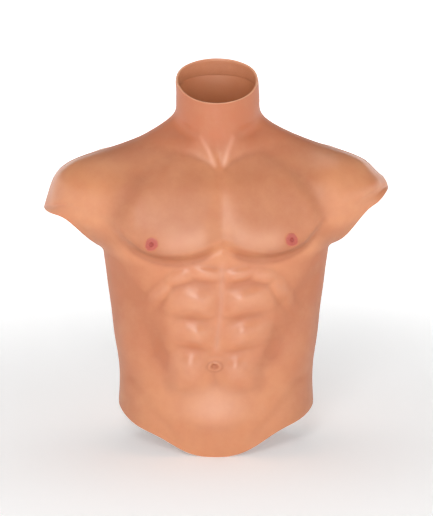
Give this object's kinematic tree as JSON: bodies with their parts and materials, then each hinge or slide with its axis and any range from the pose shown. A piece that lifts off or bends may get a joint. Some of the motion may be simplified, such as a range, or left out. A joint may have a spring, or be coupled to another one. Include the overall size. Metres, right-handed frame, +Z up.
{
  "type": "hollow muscle torso",
  "caption": "Wearable hollow silicone muscle torso with neck, cap sleeves and a curved open hem, padded behind the chest and belly muscles.",
  "frame": {"origin": "middle of the shoulder rest, level with the inside of the shoulders, between the two arm openings", "axes": "+Z up along the neck, the chest faces -Y, +X is the wearer's left"},
  "size_m": [0.548, 0.2285, 0.611],
  "materials": {
    "front_silicone": "satin skin-toned silicone, airbrushed darker round the muscles",
    "back_silicone": "satin skin-toned silicone",
    "areola_silicone": "satin red-brown silicone",
    "lining_silicone": "matt thin silicone sheet",
    "seam_silicone": "matt silicone adhesive",
    "filling": "white polyester wadding",
    "gauze": "power mesh soaked with silicone"
  },
  "bodies": {
    "root": {"front_skin": "front_silicone", "back_skin": "back_silicone", "left_nipple_inlay": "areola_silicone", "right_nipple_inlay": "areola_silicone", "front_lining": "lining_silicone", "left_chest_pad": "filling", "left_rib_belly_pad": "filling", "left_upper_belly_pad": "filling", "left_middle_belly_pad": "filling", "left_lower_belly_pad": "filling", "right_chest_pad": "filling", "right_rib_belly_pad": "filling", "right_upper_belly_pad": "filling", "right_middle_belly_pad": "filling", "right_lower_belly_pad": "filling", "groin_pad": "filling", "hem_tape": "gauze", "neck_tape": "gauze", "left_armhole_tape": "gauze", "right_armhole_tape": "gauze", "left_side_strip": "seam_silicone", "left_shoulder_strip": "seam_silicone", "right_side_strip": "seam_silicone", "right_shoulder_strip": "seam_silicone"}
  },
  "joints": []
}
